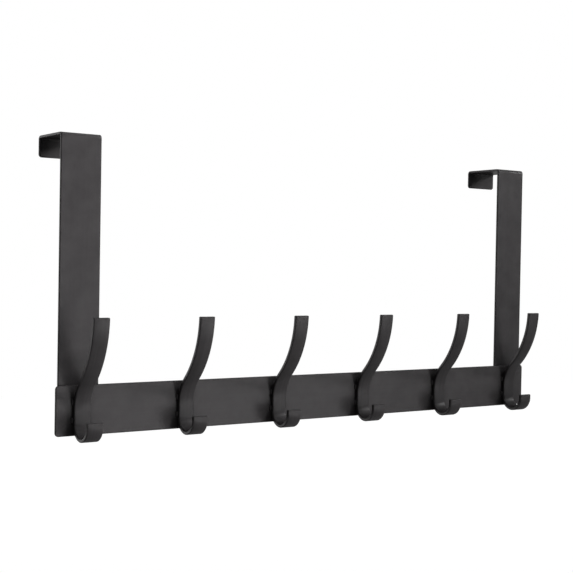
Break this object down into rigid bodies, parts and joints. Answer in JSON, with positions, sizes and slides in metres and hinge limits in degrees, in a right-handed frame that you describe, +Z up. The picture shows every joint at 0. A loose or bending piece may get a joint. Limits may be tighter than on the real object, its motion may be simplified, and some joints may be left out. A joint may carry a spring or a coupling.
{
  "type": "over door hook rack",
  "caption": "Welded rack for the top of a door: folded flat straps carry a plain rail with bent flat-bar hooks for coats, towels and bags.",
  "frame": {"origin": "midway between the straps, where the door's top face meets its front face", "axes": "+X along the rail to the viewer's right, +Y back through the door, +Z up"},
  "size_m": [0.5, 0.0796, 0.2355],
  "materials": {
    "powder_coat": "dark charcoal powder coat, satin, over welded sheet steel"
  },
  "bodies": {
    "root": {"rail": "powder_coat", "strap_left": "powder_coat", "strap_right": "powder_coat", "hook_1": "powder_coat", "hook_2": "powder_coat", "hook_3": "powder_coat", "hook_4": "powder_coat", "hook_5": "powder_coat", "hook_6": "powder_coat", "hook_welds": "powder_coat", "strap_welds": "powder_coat"}
  },
  "joints": []
}
